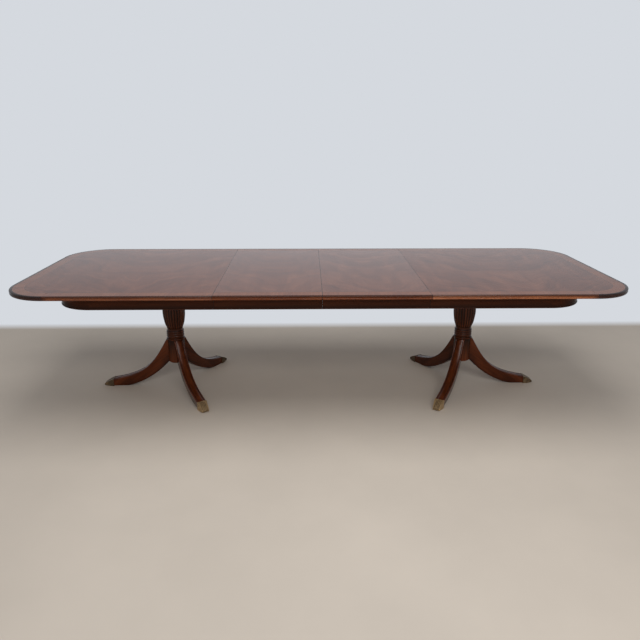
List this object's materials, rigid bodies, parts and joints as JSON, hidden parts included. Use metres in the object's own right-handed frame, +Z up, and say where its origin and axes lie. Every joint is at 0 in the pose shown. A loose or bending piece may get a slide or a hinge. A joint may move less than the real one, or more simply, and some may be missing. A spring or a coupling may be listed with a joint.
{
  "type": "dining table",
  "caption": "Pedestal extension dining table with lift-out leaves, banded top with reeded edge, sabre legs with brass toe caps, wooden slides and seam locks.",
  "frame": {"origin": "on the floor under the centre of the top", "axes": "+X along the table's length, -Y towards the front, +Z up"},
  "size_m": [3.308, 1.21, 0.75],
  "materials": {
    "field_veneer": "figured mahogany veneer, glossy lacquer",
    "band_veneer": "crossbanded mahogany veneer, glossy lacquer",
    "edge_mahogany": "solid mahogany, glossy lacquer",
    "apron_mahogany": "dark stained mahogany, satin lacquer",
    "leg_mahogany": "dark red stained mahogany, glossy lacquer",
    "core_wood": "sealed board",
    "secondary_wood": "planed hardwood, bare",
    "slide_wood": "planed maple, waxed",
    "dowel_wood": "turned birch, bare",
    "aged_brass": "cast, dull with age",
    "lock_brass": "pressed, lightly tarnished",
    "strap_steel": "blackened steel"
  },
  "bodies": {
    "left_half": {"left_apron_back_rail": "apron_mahogany", "left_apron_end_rail": "apron_mahogany", "left_apron_front_rail": "apron_mahogany", "left_leg_back": "leg_mahogany", "left_leg_end": "leg_mahogany", "left_leg_front": "leg_mahogany", "left_leg_strap": "strap_steel", "left_lock_plates": "lock_brass", "left_plate_bolts": "strap_steel", "left_post": "leg_mahogany", "left_post_plate": "secondary_wood", "left_seam_pins": "dowel_wood", "left_slides": "slide_wood", "left_toe_caps": "aged_brass", "left_top_band": "band_veneer", "left_top_core": "core_wood", "left_top_edge": "edge_mahogany", "left_top_field": "field_veneer"},
    "right_half": {"right_apron_back_rail": "apron_mahogany", "right_apron_end_rail": "apron_mahogany", "right_apron_front_rail": "apron_mahogany", "right_leg_back": "leg_mahogany", "right_leg_end": "leg_mahogany", "right_leg_front": "leg_mahogany", "right_leg_strap": "strap_steel", "right_lock_plates": "lock_brass", "right_plate_bolts": "strap_steel", "right_post": "leg_mahogany", "right_post_plate": "secondary_wood", "right_seam_pins": "dowel_wood", "right_slides": "slide_wood", "right_toe_caps": "aged_brass", "right_top_band": "band_veneer", "right_top_core": "core_wood", "right_top_edge": "edge_mahogany", "right_top_field": "field_veneer"},
    "middle_slide_frame": {"middle_slide_ties": "slide_wood", "middle_slides": "slide_wood"},
    "leaf_left": {"leaf_left_apron_rails": "apron_mahogany", "leaf_left_band": "band_veneer", "leaf_left_battens": "secondary_wood", "leaf_left_core": "core_wood", "leaf_left_edge": "edge_mahogany", "leaf_left_field": "field_veneer", "leaf_left_lock_fittings": "lock_brass"},
    "leaf_right": {"leaf_right_apron_rails": "apron_mahogany", "leaf_right_band": "band_veneer", "leaf_right_battens": "secondary_wood", "leaf_right_core": "core_wood", "leaf_right_edge": "edge_mahogany", "leaf_right_field": "field_veneer", "leaf_right_lock_keepers": "lock_brass"},
    "left_back_lever": {"left_lock_lever_back": "lock_brass"},
    "left_front_lever": {"left_lock_lever_front": "lock_brass"},
    "middle_back_lever": {"middle_lock_lever_back": "lock_brass"},
    "middle_front_lever": {"middle_lock_lever_front": "lock_brass"},
    "right_back_lever": {"right_lock_lever_back": "lock_brass"},
    "right_front_lever": {"right_lock_lever_front": "lock_brass"}
  },
  "joints": [
    {"name": "extension", "type": "slide", "parent": "left_half", "child": "right_half", "axis": [1, 0, 0], "range_m": [0, 0.06]},
    {"name": "middle_slide_run", "type": "slide", "parent": "left_half", "child": "middle_slide_frame", "axis": [1, 0, 0], "range_m": [0, 0.03]},
    {"name": "leaf_left_lift", "type": "slide", "parent": "left_half", "child": "leaf_left", "axis": [0, 0, 1], "range_m": [0, 0.25]},
    {"name": "leaf_right_lift", "type": "slide", "parent": "left_half", "child": "leaf_right", "axis": [0, 0, 1], "range_m": [0, 0.25]},
    {"name": "left_front_lock", "type": "hinge", "parent": "left_half", "child": "left_front_lever", "pos_m": [-0.588, -0.41776, 0.7227], "axis": [0, 0, 1], "range_deg": [0, 90]},
    {"name": "left_back_lock", "type": "hinge", "parent": "left_half", "child": "left_back_lever", "pos_m": [-0.588, 0.41776, 0.7227], "axis": [0, 0, -1], "range_deg": [0, 90]},
    {"name": "middle_front_lock", "type": "hinge", "parent": "leaf_left", "child": "middle_front_lever", "pos_m": [-0.032, -0.41776, 0.7227], "axis": [0, 0, 1], "range_deg": [0, 90]},
    {"name": "middle_back_lock", "type": "hinge", "parent": "leaf_left", "child": "middle_back_lever", "pos_m": [-0.032, 0.41776, 0.7227], "axis": [0, 0, -1], "range_deg": [0, 90]},
    {"name": "right_front_lock", "type": "hinge", "parent": "right_half", "child": "right_front_lever", "pos_m": [0.588, -0.41776, 0.7227], "axis": [0, 0, -1], "range_deg": [0, 90]},
    {"name": "right_back_lock", "type": "hinge", "parent": "right_half", "child": "right_back_lever", "pos_m": [0.588, 0.41776, 0.7227], "axis": [0, 0, 1], "range_deg": [0, 90]}
  ],
  "couplings": [
    {"joint": "middle_slide_run", "follows": "extension", "ratio": 0.5}
  ]
}
